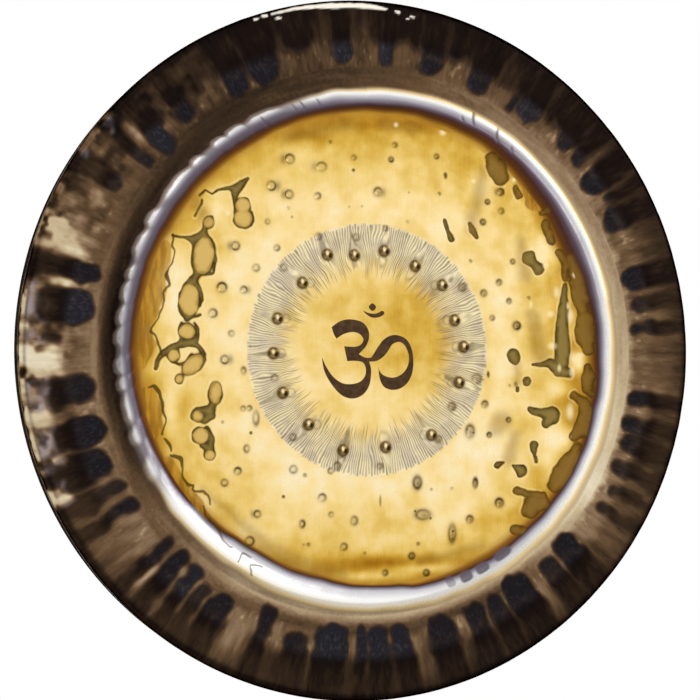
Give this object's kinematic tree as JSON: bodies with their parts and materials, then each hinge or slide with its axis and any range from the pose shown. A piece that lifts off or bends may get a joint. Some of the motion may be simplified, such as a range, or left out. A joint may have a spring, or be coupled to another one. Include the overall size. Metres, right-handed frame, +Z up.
{
  "type": "gong",
  "caption": "Large hanging gong: hammered sheet with a polished face, a raised ridge, a dark rim, a turned-back flange and bushed hanging holes.",
  "frame": {"origin": "centre of the bounding box, on the gong's axis at half its depth", "axes": "+Z up as the gong hangs, -Y is where the face looks, +X to the right seen from the front"},
  "size_m": [0.81, 0.0624, 0.81],
  "materials": {
    "gong_sheet": "hammered nickel silver, polished gold face, heat-tinted ridge, dark oxidised rim",
    "bush_nylon": "satin black moulded nylon"
  },
  "bodies": {
    "root": {"gong_disc": "gong_sheet", "hanging_bush_left": "bush_nylon", "hanging_bush_right": "bush_nylon"}
  },
  "joints": []
}
